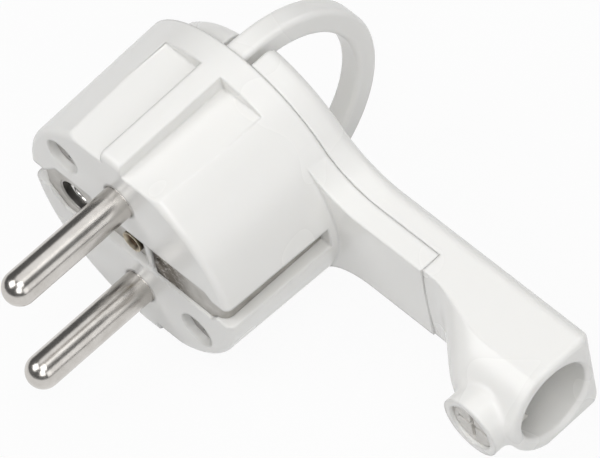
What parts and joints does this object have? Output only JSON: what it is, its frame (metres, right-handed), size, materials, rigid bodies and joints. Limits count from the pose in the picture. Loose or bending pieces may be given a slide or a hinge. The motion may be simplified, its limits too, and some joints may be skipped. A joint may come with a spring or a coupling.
{
  "type": "type f plug",
  "caption": "Angled white mains plug with round pins, side earth contacts, an earth socket, a pull ring behind the drum and a clamped cord entry at the end of its arm.",
  "frame": {"origin": "middle of the contact face, halfway between the two pin axes", "axes": "+X along the arm to the cord entry, +Y into the plug away from the wall, so the pins point along -Y, +Z from the neutral pin to the line pin"},
  "size_m": [0.0769, 0.0619, 0.038],
  "materials": {
    "shell": "glossy white moulding",
    "inner_plastic": "plain moulding",
    "nickel": "turned and nickel-plated",
    "nickel_sheet": "stamped and nickel-plated",
    "zinc_steel": "zinc-plated",
    "brass": "bare"
  },
  "bodies": {
    "root": {"front_housing": "shell", "rear_cover": "shell", "pull_ring": "shell", "pin_carrier": "inner_plastic", "line_pin": "nickel", "neutral_pin": "nickel", "line_pin_screw": "zinc_steel", "neutral_pin_screw": "zinc_steel", "earth_strip": "nickel_sheet", "earth_socket": "nickel_sheet", "earth_socket_spring": "zinc_steel", "earth_screw": "zinc_steel", "centre_eyelet": "brass", "strip_rivet": "nickel_sheet", "housing_screw_upper": "zinc_steel", "housing_screw_lower": "zinc_steel", "screw_insert_upper": "brass", "screw_insert_lower": "brass", "clamp_screw": "zinc_steel", "clamp_nut": "zinc_steel", "cord_saddle": "inner_plastic"}
  },
  "joints": []
}
